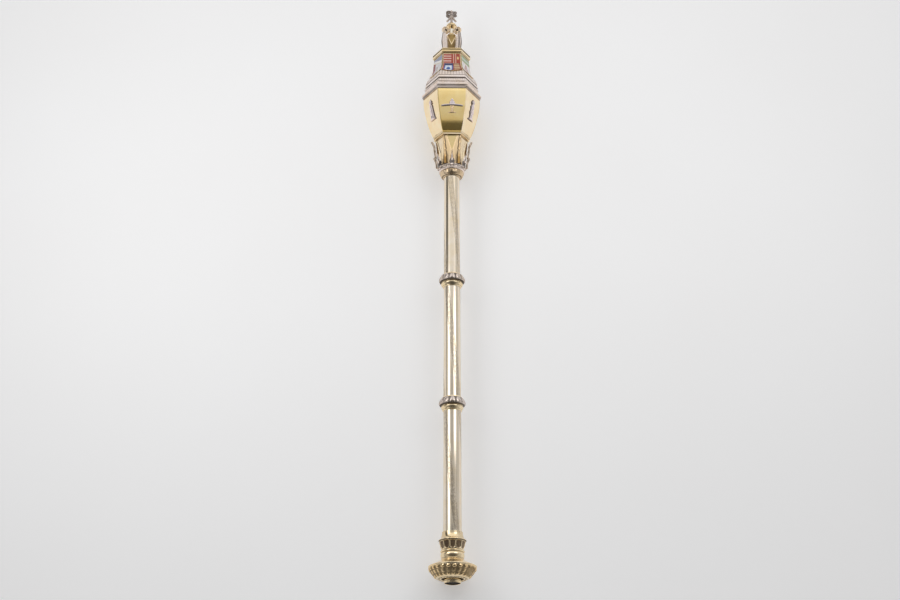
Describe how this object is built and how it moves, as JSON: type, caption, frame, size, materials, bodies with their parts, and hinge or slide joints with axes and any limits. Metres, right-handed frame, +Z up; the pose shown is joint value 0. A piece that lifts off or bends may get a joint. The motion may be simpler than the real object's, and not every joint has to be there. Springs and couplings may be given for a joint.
{
  "type": "ceremonial mace",
  "caption": "Ceremonial mace lying down: a six-sided gilt vase under an enamelled drum and a scrolled lantern, on a slim engraved staff with ringed knops and a wide gadrooned pommel.",
  "frame": {"origin": "centre of the bounding box, on the surface the mace lies on", "axes": "the head points to +Y and the foot to -Y, +Z is up and +X is to the right of the front side, which faces up"},
  "size_m": [0.122, 1.2001, 0.1057],
  "materials": {
    "polished_gilt": "polished silver-gilt",
    "engraved_gilt": "polished silver-gilt, engraved with matt ribbons",
    "antique_silver": "cast silver, darkened in the hollows",
    "enamel": "glossy fired enamel on metal"
  },
  "bodies": {
    "root": {"foot_boss": "polished_gilt", "pommel": "polished_gilt", "spool": "polished_gilt", "arcaded_socket": "polished_gilt", "shaft_lower": "engraved_gilt", "shaft_middle": "engraved_gilt", "shaft_upper": "engraved_gilt", "knop_lower": "polished_gilt", "knop_upper": "polished_gilt", "collar": "polished_gilt", "neck": "polished_gilt", "leaf_coronet": "antique_silver", "corner_leaf_1": "antique_silver", "corner_leaf_2": "antique_silver", "corner_leaf_3": "antique_silver", "corner_leaf_4": "antique_silver", "corner_leaf_5": "antique_silver", "corner_leaf_6": "antique_silver", "bowl": "polished_gilt", "panel_emblem_1": "antique_silver", "panel_emblem_2": "antique_silver", "panel_emblem_3": "antique_silver", "panel_emblem_4": "antique_silver", "panel_emblem_5": "antique_silver", "panel_emblem_6": "antique_silver", "main_cornice": "antique_silver", "frieze": "antique_silver", "drum": "antique_silver", "enamel_shield_1": "enamel", "enamel_shield_2": "enamel", "enamel_shield_3": "enamel", "enamel_shield_4": "enamel", "enamel_shield_5": "enamel", "enamel_shield_6": "enamel", "upper_cornice": "polished_gilt", "lantern_core": "polished_gilt", "scroll_bracket_1": "antique_silver", "scroll_bracket_2": "antique_silver", "scroll_bracket_3": "antique_silver", "dome_cap": "polished_gilt", "finial": "antique_silver"}
  },
  "joints": []
}
